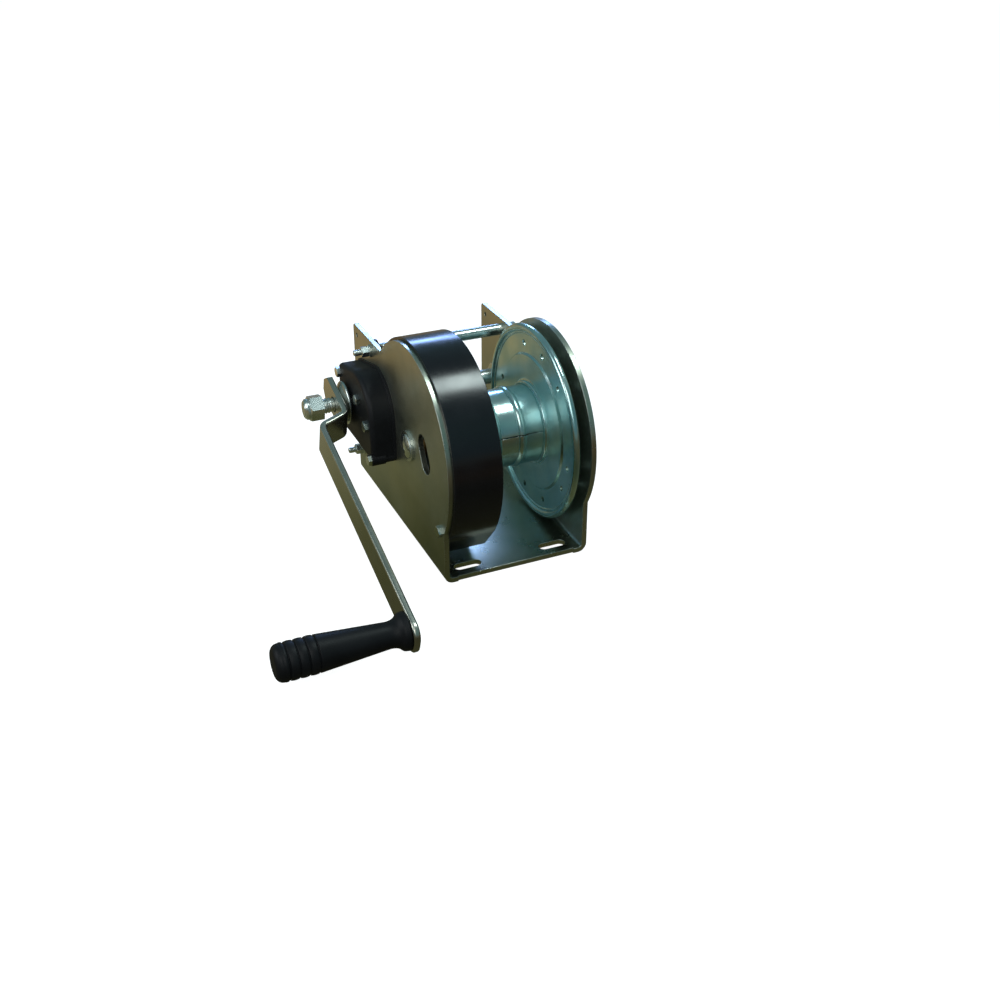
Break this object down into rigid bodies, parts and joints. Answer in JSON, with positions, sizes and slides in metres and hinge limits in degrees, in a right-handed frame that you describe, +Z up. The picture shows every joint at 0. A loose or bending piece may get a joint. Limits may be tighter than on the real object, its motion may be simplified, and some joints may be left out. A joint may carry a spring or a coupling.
{
  "type": "boat trailer winch",
  "caption": "Hand-cranked boat trailer winch with a U-shaped steel frame, a flanged rope drum, a spur gear pair under a curved cover, a load brake and a cranked handle.",
  "frame": {"origin": "centre of the four mounting slots, on the underside of the base", "axes": "+X along the drum axle away from the crank, +Y to the back of the winch where the tie rods are, +Z up out of the base"},
  "size_m": [0.3562, 0.3544, 0.211],
  "materials": {
    "frame_zinc": "bright zinc plate, clear passivated",
    "drum_zinc": "bright zinc plate, glossy, slightly blue",
    "crank_zinc": "bright zinc plated flat bar",
    "bright_zinc": "bright zinc plate",
    "fastener_zinc": "bright zinc plated fasteners",
    "gear_steel": "yellow-grey zinc plated steel, machined",
    "spring_steel": "oiled spring steel",
    "bronze_bush": "sintered bronze, oil filled",
    "brake_lining": "moulded friction material, matte",
    "black_housing": "fine-grained moulded black plastic",
    "black_grip": "fine-grained moulded black plastic",
    "black_cover": "satin black plastic"
  },
  "bodies": {
    "frame_body": {"frame": "frame_zinc", "upper_tie_rod": "bright_zinc", "lower_tie_rod": "bright_zinc", "tie_rod_nuts": "fastener_zinc", "tie_rod_washers": "fastener_zinc", "drum_axle": "fastener_zinc", "drum_axle_washers": "fastener_zinc", "drum_axle_nut": "fastener_zinc", "drum_axle_spacer": "bright_zinc", "shaft_bush_left": "bright_zinc", "shaft_bush_right": "bright_zinc", "pawl_pin": "bright_zinc", "pawl_spring": "spring_steel", "brake_housing": "black_housing", "housing_screws": "fastener_zinc", "gear_cover": "black_cover", "cover_screw": "fastener_zinc"},
    "drum": {"drum_core": "drum_zinc", "drum_flange_right": "drum_zinc", "drum_flange_left": "drum_zinc", "drum_gear": "gear_steel", "drum_rivets": "bright_zinc", "drum_end_hub": "drum_zinc", "drum_bushes": "bronze_bush"},
    "crank_shaft": {"drive_shaft": "bright_zinc", "drive_pinion": "gear_steel", "shaft_circlip": "spring_steel", "brake_flange": "gear_steel", "crank_nut": "fastener_zinc"},
    "ratchet": {"ratchet_wheel": "gear_steel", "friction_linings": "brake_lining"},
    "pawl": {"pawl": "gear_steel"},
    "brake_disc": {"pressure_disc": "gear_steel"},
    "crank": {"crank_hub": "bright_zinc", "crank_arm": "crank_zinc", "grip_spindle": "fastener_zinc"},
    "grip": {"grip": "black_grip"}
  },
  "joints": [
    {"name": "drum_spin", "type": "hinge", "parent": "frame_body", "child": "drum", "pos_m": [0, -0.036, 0.106], "axis": [1, 0, 0], "continuous": true},
    {"name": "shaft_spin", "type": "hinge", "parent": "frame_body", "child": "crank_shaft", "pos_m": [0, 0.07394, 0.1095], "axis": [1, 0, 0], "continuous": true},
    {"name": "ratchet_spin", "type": "hinge", "parent": "frame_body", "child": "ratchet", "pos_m": [0, 0.07394, 0.1095], "axis": [1, 0, 0], "continuous": true},
    {"name": "pawl_lift", "type": "hinge", "parent": "frame_body", "child": "pawl", "pos_m": [-0.0868, 0.03794, 0.098], "axis": [1, 0, 0], "range_deg": [-16, 0], "stiffness_Nm_per_rad": 0.05, "springref_deg": 28.65},
    {"name": "pressure_disc_float", "type": "slide", "parent": "crank_shaft", "child": "brake_disc", "axis": [-1, 0, 0], "range_m": [0, 0.00025]},
    {"name": "crank_backoff", "type": "hinge", "parent": "crank_shaft", "child": "crank", "pos_m": [0, 0.07394, 0.1095], "axis": [1, 0, 0], "range_deg": [-30, 0]},
    {"name": "grip_spin", "type": "hinge", "parent": "crank", "child": "grip", "pos_m": [-0.2, -0.2106, 0.0244], "axis": [1, 0, 0], "continuous": true}
  ],
  "couplings": [
    {"joint": "shaft_spin", "follows": "drum_spin", "ratio": -5.2857}
  ]
}
